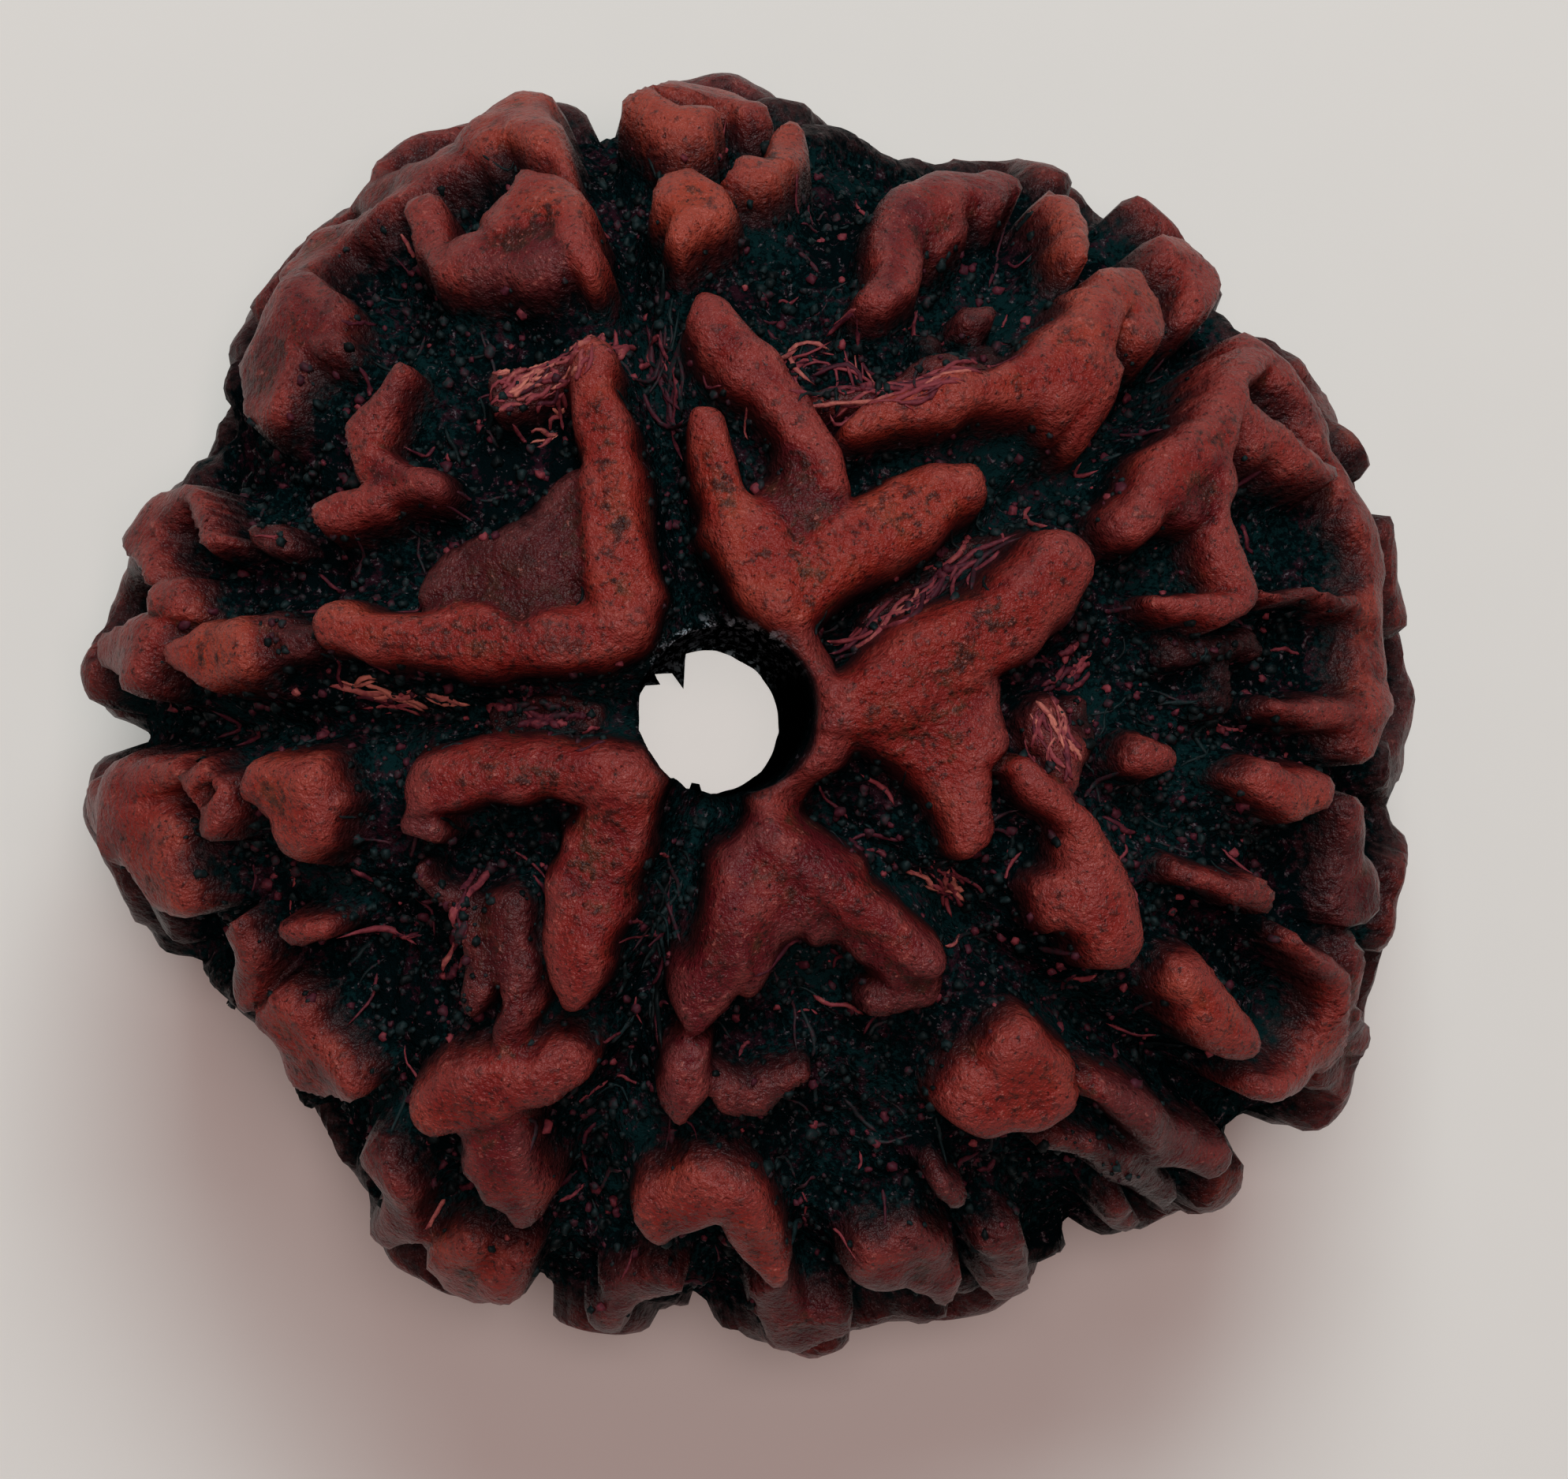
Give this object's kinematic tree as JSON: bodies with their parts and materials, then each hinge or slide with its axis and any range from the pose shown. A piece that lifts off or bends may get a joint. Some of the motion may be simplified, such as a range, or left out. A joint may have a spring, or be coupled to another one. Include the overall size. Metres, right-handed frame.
{
  "type": "rudraksha bead",
  "caption": "Ridged, knobbly seed-stone bead with furrows from hole to rim and a straight thread hole through its middle.",
  "frame": {"origin": "middle of the bead's footprint, on the plane of the small worn flat that it rests on", "axes": "+Z along the thread hole, out of the face that the picture shows; +X to the picture's right, +Y to its top"},
  "size_m": [0.022, 0.0212, 0.0176],
  "materials": {
    "seed_stone": "hard red-brown seed stone, lightly polished on the ridge tops and dark and rough in the furrows"
  },
  "bodies": {
    "root": {"rudraksha_bead": "seed_stone"}
  },
  "joints": []
}
